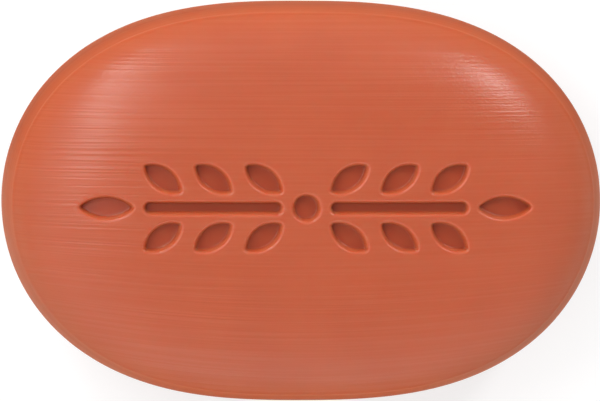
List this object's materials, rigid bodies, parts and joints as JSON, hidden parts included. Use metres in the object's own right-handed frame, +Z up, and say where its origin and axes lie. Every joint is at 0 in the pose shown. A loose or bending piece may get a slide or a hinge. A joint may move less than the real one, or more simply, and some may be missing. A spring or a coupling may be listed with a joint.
{
  "type": "shampoo bar",
  "caption": "Pressed oval shampoo bar with a domed face, a leaf sprig stamped into its crown, a soft side band with fine witness ridges and a flat rest face.",
  "frame": {"origin": "middle of the flat rest face", "axes": "+X along the bar's length, +Z up out of the stamped face"},
  "size_m": [0.092, 0.0612, 0.031],
  "materials": {
    "soap": "waxy satin, coral, with fine drag lines"
  },
  "bodies": {
    "root": {"soap_bar": "soap"}
  },
  "joints": []
}
